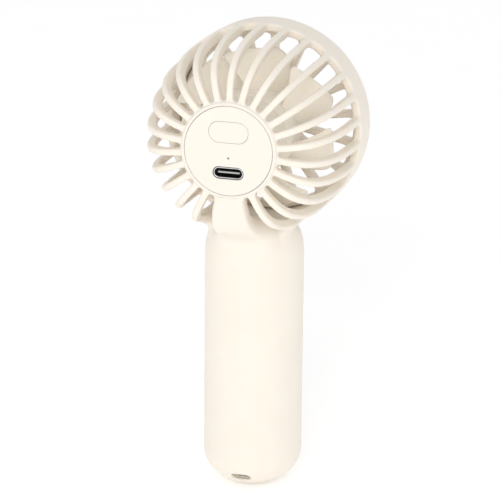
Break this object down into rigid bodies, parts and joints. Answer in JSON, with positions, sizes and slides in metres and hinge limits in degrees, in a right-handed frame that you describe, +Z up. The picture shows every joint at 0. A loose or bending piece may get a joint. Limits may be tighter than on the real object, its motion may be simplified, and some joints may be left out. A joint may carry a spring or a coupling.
{
  "type": "handheld electric fan",
  "caption": "Small rechargeable hand fan: a round ribbed head on an upright capsule handle, with a push button and a charging port on the back of the hub",
  "frame": {"origin": "middle of the small flat at the bottom of the handle", "axes": "+Z up along the handle; the air leaves towards -Y; the hub's control cover, button and charging port face +Y; +X is to the right when the front grille is seen"},
  "size_m": [0.061, 0.0447, 0.1399],
  "materials": {
    "shell": "fine matte moulded cream",
    "cover": "fine matte moulded cream",
    "button": "fine matte moulded cream",
    "fan_plastic": "satin moulded cream",
    "black_plastic": "matte epoxy",
    "grey_plastic": "matte moulded",
    "clear_plastic": "clear moulded",
    "port_steel": "satin nickel plated",
    "circuit_board": "solder mask",
    "brass": "turned brass",
    "bare_steel": "bright steel",
    "dark_steel": "dark laminated steel",
    "copper": "enamelled copper wire",
    "cell_wrap": "shrink wrap",
    "foam": "closed-cell foam",
    "wire_red": "wire jacket",
    "wire_black": "wire jacket"
  },
  "bodies": {
    "body": {"rear_housing": "shell", "front_handle_shell": "shell", "front_grille": "shell", "grille_center_cap": "shell", "control_cover": "cover", "tact_switch_base": "black_plastic", "led_light_pipe": "clear_plastic", "status_led": "clear_plastic", "usb_shell": "port_steel", "usb_tongue": "grey_plastic", "control_board": "circuit_board", "charger_chip": "black_plastic", "motor_driver_chip": "black_plastic", "inductor": "grey_plastic", "capacitor": "brass", "board_screw_left": "bare_steel", "board_screw_right": "bare_steel", "motor_base": "brass", "motor_screw_lower": "bare_steel", "motor_screw_upper": "bare_steel", "motor_board": "circuit_board", "stator_core": "dark_steel", "coil_1": "copper", "coil_2": "copper", "coil_3": "copper", "coil_4": "copper", "coil_5": "copper", "coil_6": "copper", "bearing_front": "bare_steel", "bearing_rear": "bare_steel", "battery_cell": "cell_wrap", "battery_insulator": "foam", "battery_cap": "bare_steel", "battery_tab_positive": "bare_steel", "battery_tab_negative": "bare_steel", "battery_pad_top": "foam", "battery_pad_bottom": "foam", "battery_wire_positive": "wire_red", "battery_wire_negative": "wire_black"},
    "rotor": {"impeller": "fan_plastic", "rotor_cup": "bare_steel", "magnet_ring": "dark_steel", "shaft": "bare_steel", "shaft_clip": "dark_steel"},
    "button": {"power_button": "button"},
    "switch_plunger": {"tact_switch_plunger": "grey_plastic"}
  },
  "joints": [
    {"name": "impeller_spin", "type": "hinge", "parent": "body", "child": "rotor", "pos_m": [0, 0, 0.1094], "axis": [0, -1, 0], "continuous": true},
    {"name": "button_travel", "type": "slide", "parent": "body", "child": "button", "axis": [0, -1, 0], "range_m": [0, 0.00035], "stiffness_N_per_m": 300, "springref_m": -0.001},
    {"name": "plunger_travel", "type": "slide", "parent": "body", "child": "switch_plunger", "axis": [0, -1, 0], "range_m": [0, 0.00035]}
  ],
  "couplings": [
    {"joint": "plunger_travel", "follows": "button_travel", "ratio": 1}
  ]
}
